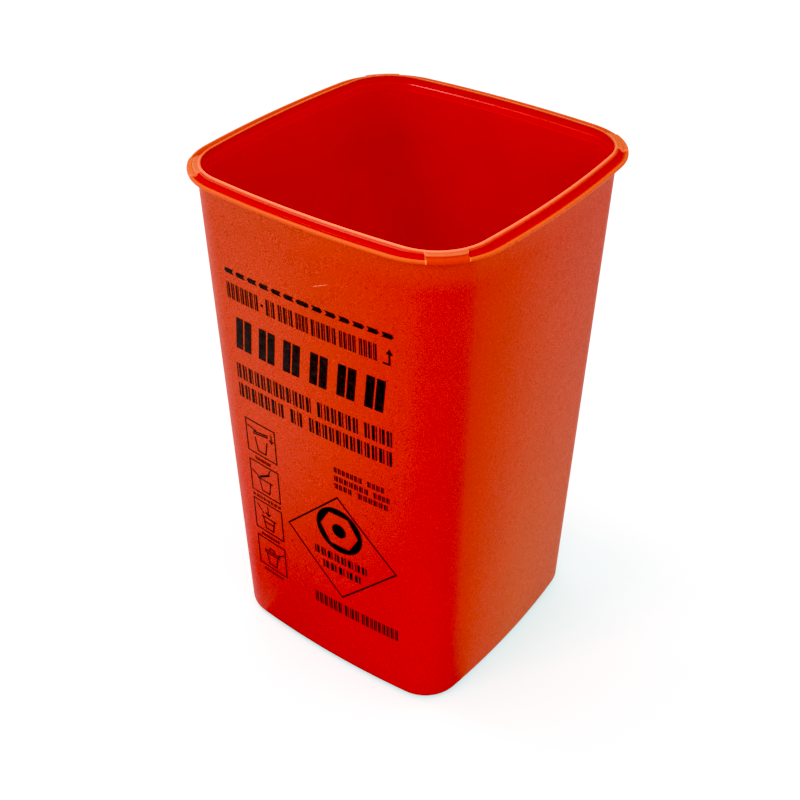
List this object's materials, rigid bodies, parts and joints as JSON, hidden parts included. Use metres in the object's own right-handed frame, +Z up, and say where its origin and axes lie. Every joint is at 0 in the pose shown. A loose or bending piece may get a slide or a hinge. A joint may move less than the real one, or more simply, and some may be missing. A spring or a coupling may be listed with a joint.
{
  "type": "square waste tub",
  "caption": "Open square waste tub with tapered round-cornered walls, an inner ledge, a lid-snap rim with solid corner blocks, and a printed front with a fill line.",
  "frame": {"origin": "middle of the foot, on the surface that the tub stands on", "axes": "+Z up along the tub, -Y out of the printed face"},
  "size_m": [0.1004, 0.1004, 0.16],
  "materials": {
    "tub": "red polypropylene, satin outside and glossy inside",
    "ink": "black screen-printing ink, semi-matte"
  },
  "bodies": {
    "root": {"caption_1": "ink", "caption_2": "ink", "caption_3": "ink", "caption_4": "ink", "diamond_frame": "ink", "diamond_lower_word_1": "ink", "diamond_upper_word_1": "ink", "fill_arrow": "ink", "fill_dash_01": "ink", "fill_dash_02": "ink", "fill_dash_03": "ink", "fill_dash_04": "ink", "fill_dash_05": "ink", "fill_dash_06": "ink", "fill_dash_07": "ink", "fill_dash_08": "ink", "fill_dash_09": "ink", "fill_dash_10": "ink", "fill_dash_11": "ink", "fill_dash_12": "ink", "fill_dash_13": "ink", "footer_word_1": "ink", "footer_word_2": "ink", "footer_word_3": "ink", "heading_block_1": "ink", "heading_block_2": "ink", "heading_block_3": "ink", "heading_block_4": "ink", "heading_block_5": "ink", "heading_block_6": "ink", "line_1_word_1": "ink", "line_1_word_2": "ink", "line_1_word_3": "ink", "line_2_word_1": "ink", "line_2_word_2": "ink", "line_2_word_3": "ink", "notice_hyphen": "ink", "notice_word_1": "ink", "notice_word_2": "ink", "notice_word_3": "ink", "notice_word_4": "ink", "notice_word_5": "ink", "notice_word_6": "ink", "notice_word_7": "ink", "pictogram_frame_1": "ink", "pictogram_frame_2": "ink", "pictogram_frame_3": "ink", "pictogram_frame_4": "ink", "spec_1_word_1": "ink", "spec_1_word_2": "ink", "spec_2_word_1": "ink", "spec_2_word_2": "ink", "spec_3_word_1": "ink", "spec_3_word_2": "ink", "symbol_dot": "ink", "symbol_ring": "ink", "tub": "tub"}
  },
  "joints": []
}
